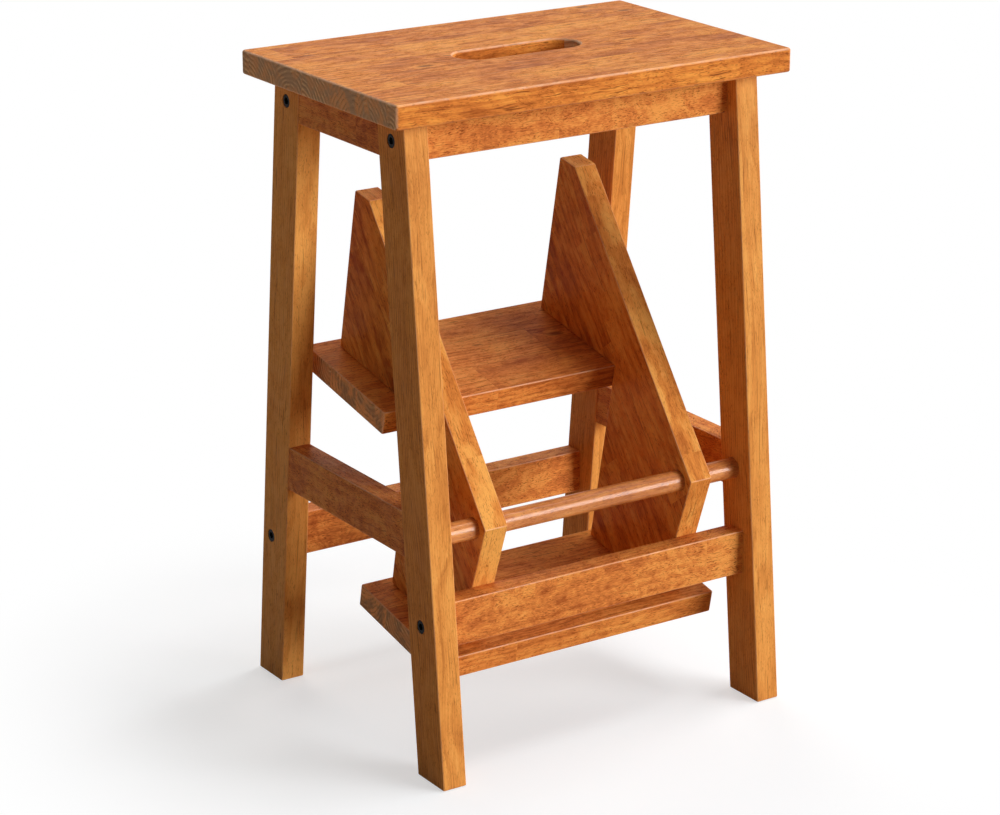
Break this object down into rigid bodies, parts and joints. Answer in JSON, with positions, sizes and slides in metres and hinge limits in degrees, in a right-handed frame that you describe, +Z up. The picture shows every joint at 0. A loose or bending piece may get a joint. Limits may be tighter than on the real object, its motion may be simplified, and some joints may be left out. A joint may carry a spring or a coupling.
{
  "type": "folding step stool chair",
  "caption": "Wooden counter-height stool with splayed legs and a hand slot in the seat; a two-tread step unit stored under the seat swings forward and down on a round rod.",
  "frame": {"origin": "on the floor, under the middle of the seat", "axes": "+X to the right end of the seat, seen from the front; -Y to the front, where the steps swing out; +Z up"},
  "size_m": [0.412, 0.3304, 0.61],
  "materials": {
    "seat_wood": "honey-stained edge-glued board under satin clear lacquer",
    "leg_wood": "honey-stained straight-grained hardwood under satin clear lacquer",
    "rail_wood": "honey-stained hardwood with mottled figure under satin clear lacquer",
    "dowel_wood": "bare fluted dowel",
    "black_steel": "black oxide",
    "zinc_steel": "zinc plated"
  },
  "bodies": {
    "stool_frame": {"seat_board": "seat_wood", "leg_front_left": "leg_wood", "leg_front_right": "leg_wood", "leg_back_left": "leg_wood", "leg_back_right": "leg_wood", "apron_front": "rail_wood", "apron_back": "rail_wood", "stretcher_front": "rail_wood", "stretcher_back": "rail_wood", "apron_left": "rail_wood", "apron_right": "rail_wood", "stretcher_left": "rail_wood", "stretcher_right": "rail_wood", "bolt_apron_front_left": "black_steel", "bolt_apron_front_right": "black_steel", "bolt_apron_back_left": "black_steel", "bolt_apron_back_right": "black_steel", "bolt_stretcher_front_left": "black_steel", "bolt_stretcher_front_right": "black_steel", "bolt_stretcher_back_left": "black_steel", "bolt_stretcher_back_right": "black_steel", "barrel_nut_apron_front_left": "zinc_steel", "barrel_nut_apron_front_right": "zinc_steel", "barrel_nut_apron_back_left": "zinc_steel", "barrel_nut_apron_back_right": "zinc_steel", "barrel_nut_stretcher_front_left": "zinc_steel", "barrel_nut_stretcher_front_right": "zinc_steel", "barrel_nut_stretcher_back_left": "zinc_steel", "barrel_nut_stretcher_back_right": "zinc_steel", "dowel_apron_front_left": "dowel_wood", "dowel_apron_front_right": "dowel_wood", "dowel_apron_back_left": "dowel_wood", "dowel_apron_back_right": "dowel_wood", "dowel_stretcher_front_left": "dowel_wood", "dowel_stretcher_front_right": "dowel_wood", "dowel_stretcher_back_left": "dowel_wood", "dowel_stretcher_back_right": "dowel_wood", "seat_screw_front_left": "zinc_steel", "seat_screw_front_right": "zinc_steel", "seat_screw_back_left": "zinc_steel", "seat_screw_back_right": "zinc_steel", "seat_screw_left": "zinc_steel", "seat_screw_right": "zinc_steel"},
    "step_unit": {"pivot_rod": "rail_wood", "step_plate_left": "rail_wood", "step_plate_right": "rail_wood", "step_tread_first": "rail_wood", "step_tread_second": "rail_wood", "tread_dowel_first_left_front": "dowel_wood", "tread_dowel_first_left_back": "dowel_wood", "tread_dowel_first_right_front": "dowel_wood", "tread_dowel_first_right_back": "dowel_wood", "tread_dowel_second_left_front": "dowel_wood", "tread_dowel_second_left_back": "dowel_wood", "tread_dowel_second_right_front": "dowel_wood", "tread_dowel_second_right_back": "dowel_wood"}
  },
  "joints": [
    {"name": "step_swing", "type": "hinge", "parent": "stool_frame", "child": "step_unit", "pos_m": [0, -0.11802, 0.219], "axis": [1, 0, 0], "range_deg": [0, 168.55]}
  ]
}
